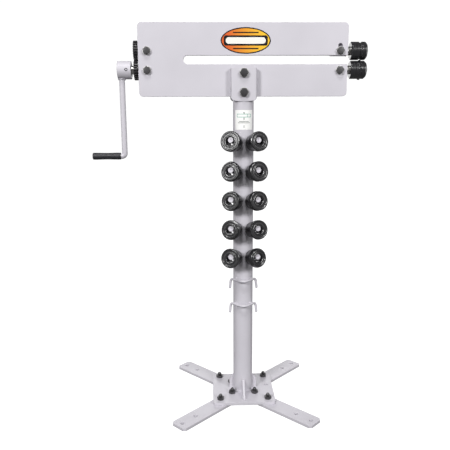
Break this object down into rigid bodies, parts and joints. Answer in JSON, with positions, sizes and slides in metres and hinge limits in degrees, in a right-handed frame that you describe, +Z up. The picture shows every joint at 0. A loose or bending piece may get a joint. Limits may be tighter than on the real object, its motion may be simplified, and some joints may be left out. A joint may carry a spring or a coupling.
{
  "type": "bead roller",
  "caption": "Hand-cranked bead roller on a floor stand: a deep-throated frame plate with two geared shafts, a pair of forming dies and spare dies on pegs.",
  "frame": {"origin": "on the floor, at the centre of the whole machine's footprint", "axes": "+X along the shafts towards the dies, +Y to the rear, where the shafts are, +Z up"},
  "size_m": [0.729, 0.3832, 1.0195],
  "materials": {
    "grey_powder_coat": "light grey powder coat, semi-gloss, with a faint orange peel",
    "black_oxide_steel": "turned steel with an oiled black oxide finish",
    "bright_steel": "ground and oiled steel",
    "sintered_bronze": "sintered bronze, matt",
    "grip_plastic": "moulded black plastic, satin"
  },
  "bodies": {
    "stand": {"adjuster_bracket": "grey_powder_coat", "adjuster_lock_nut": "black_oxide_steel", "base_plate": "grey_powder_coat", "bearing_block_front_lower": "grey_powder_coat", "bearing_block_rear_lower": "grey_powder_coat", "block_bolt_front_lower": "black_oxide_steel", "block_bolt_rear_lower": "black_oxide_steel", "bush_front_lower": "sintered_bronze", "bush_rear_lower": "sintered_bronze", "frame_plate": "grey_powder_coat", "gusset_front": "grey_powder_coat", "gusset_left": "grey_powder_coat", "gusset_rear": "grey_powder_coat", "gusset_right": "grey_powder_coat", "leg_bolt_inner_front_left": "black_oxide_steel", "leg_bolt_inner_front_right": "black_oxide_steel", "leg_bolt_inner_rear_left": "black_oxide_steel", "leg_bolt_inner_rear_right": "black_oxide_steel", "leg_bolt_outer_front_left": "black_oxide_steel", "leg_bolt_outer_front_right": "black_oxide_steel", "leg_bolt_outer_rear_left": "black_oxide_steel", "leg_bolt_outer_rear_right": "black_oxide_steel", "leg_front_left": "grey_powder_coat", "leg_front_right": "grey_powder_coat", "leg_rear_left": "grey_powder_coat", "leg_rear_right": "grey_powder_coat", "post": "grey_powder_coat", "saddle_bolt_lower": "black_oxide_steel", "saddle_bolt_upper": "black_oxide_steel", "saddle_front": "grey_powder_coat", "saddle_rear": "grey_powder_coat", "tool_hook_lower": "grey_powder_coat", "tool_hook_upper": "grey_powder_coat"},
    "upper_carrier": {"bearing_block_front_upper": "grey_powder_coat", "bearing_block_rear_upper": "grey_powder_coat", "block_bolt_front_upper": "black_oxide_steel", "block_bolt_rear_upper": "black_oxide_steel", "bush_front_upper": "sintered_bronze", "bush_rear_upper": "sintered_bronze"},
    "upper_train": {"upper_shaft": "bright_steel", "upper_gear": "black_oxide_steel", "upper_die": "black_oxide_steel", "upper_die_screw": "bright_steel"},
    "lower_train": {"lower_shaft": "bright_steel", "lower_gear": "black_oxide_steel", "lower_die": "black_oxide_steel", "lower_die_screw": "bright_steel", "crank": "grey_powder_coat"},
    "grip": {"crank_grip": "grip_plastic"},
    "adjuster": {"adjuster_screw": "black_oxide_steel"},
    "die_left_1": {"stored_die_left_1": "black_oxide_steel"},
    "die_left_2": {"stored_die_left_2": "black_oxide_steel"},
    "die_left_3": {"stored_die_left_3": "black_oxide_steel"},
    "die_left_4": {"stored_die_left_4": "black_oxide_steel"},
    "die_left_5": {"stored_die_left_5": "black_oxide_steel"},
    "die_right_1": {"stored_die_right_1": "black_oxide_steel"},
    "die_right_2": {"stored_die_right_2": "black_oxide_steel"},
    "die_right_3": {"stored_die_right_3": "black_oxide_steel"},
    "die_right_4": {"stored_die_right_4": "black_oxide_steel"},
    "die_right_5": {"stored_die_right_5": "black_oxide_steel"}
  },
  "joints": [
    {"name": "crank_spin", "type": "hinge", "parent": "stand", "child": "lower_train", "pos_m": [0, 0.024, 0.905], "axis": [1, 0, 0], "continuous": true},
    {"name": "grip_spin", "type": "hinge", "parent": "lower_train", "child": "grip", "pos_m": [-0.327, 0.024, 0.683], "axis": [1, 0, 0], "continuous": true},
    {"name": "upper_tilt", "type": "hinge", "parent": "stand", "child": "upper_carrier", "pos_m": [-0.2105, 0, 0.9505], "axis": [0, -1, 0], "range_deg": [0, 1.39]},
    {"name": "upper_spin", "type": "hinge", "parent": "upper_carrier", "child": "upper_train", "pos_m": [0, 0.024, 0.953], "axis": [1, 0, 0], "continuous": true},
    {"name": "adjuster_slide", "type": "slide", "parent": "stand", "child": "adjuster", "axis": [0, 0, 1], "range_m": [0, 0.0122]},
    {"name": "die_left_1_slide", "type": "slide", "parent": "stand", "child": "die_left_1", "axis": [-0.3848, -0.9065, 0.1736], "range_m": [0, 0.036]},
    {"name": "die_left_2_slide", "type": "slide", "parent": "stand", "child": "die_left_2", "axis": [-0.3848, -0.9065, 0.1736], "range_m": [0, 0.036]},
    {"name": "die_left_3_slide", "type": "slide", "parent": "stand", "child": "die_left_3", "axis": [-0.3848, -0.9065, 0.1736], "range_m": [0, 0.036]},
    {"name": "die_left_4_slide", "type": "slide", "parent": "stand", "child": "die_left_4", "axis": [-0.3848, -0.9065, 0.1736], "range_m": [0, 0.036]},
    {"name": "die_left_5_slide", "type": "slide", "parent": "stand", "child": "die_left_5", "axis": [-0.3848, -0.9065, 0.1736], "range_m": [0, 0.036]},
    {"name": "die_right_1_slide", "type": "slide", "parent": "stand", "child": "die_right_1", "axis": [0.3848, -0.9065, 0.1736], "range_m": [0, 0.036]},
    {"name": "die_right_2_slide", "type": "slide", "parent": "stand", "child": "die_right_2", "axis": [0.3848, -0.9065, 0.1736], "range_m": [0, 0.036]},
    {"name": "die_right_3_slide", "type": "slide", "parent": "stand", "child": "die_right_3", "axis": [0.3848, -0.9065, 0.1736], "range_m": [0, 0.036]},
    {"name": "die_right_4_slide", "type": "slide", "parent": "stand", "child": "die_right_4", "axis": [0.3848, -0.9065, 0.1736], "range_m": [0, 0.036]},
    {"name": "die_right_5_slide", "type": "slide", "parent": "stand", "child": "die_right_5", "axis": [0.3848, -0.9065, 0.1736], "range_m": [0, 0.036]}
  ],
  "couplings": [
    {"joint": "upper_spin", "follows": "crank_spin", "ratio": -1},
    {"joint": "adjuster_slide", "follows": "upper_tilt", "m_per_rad": 0.496}
  ]
}
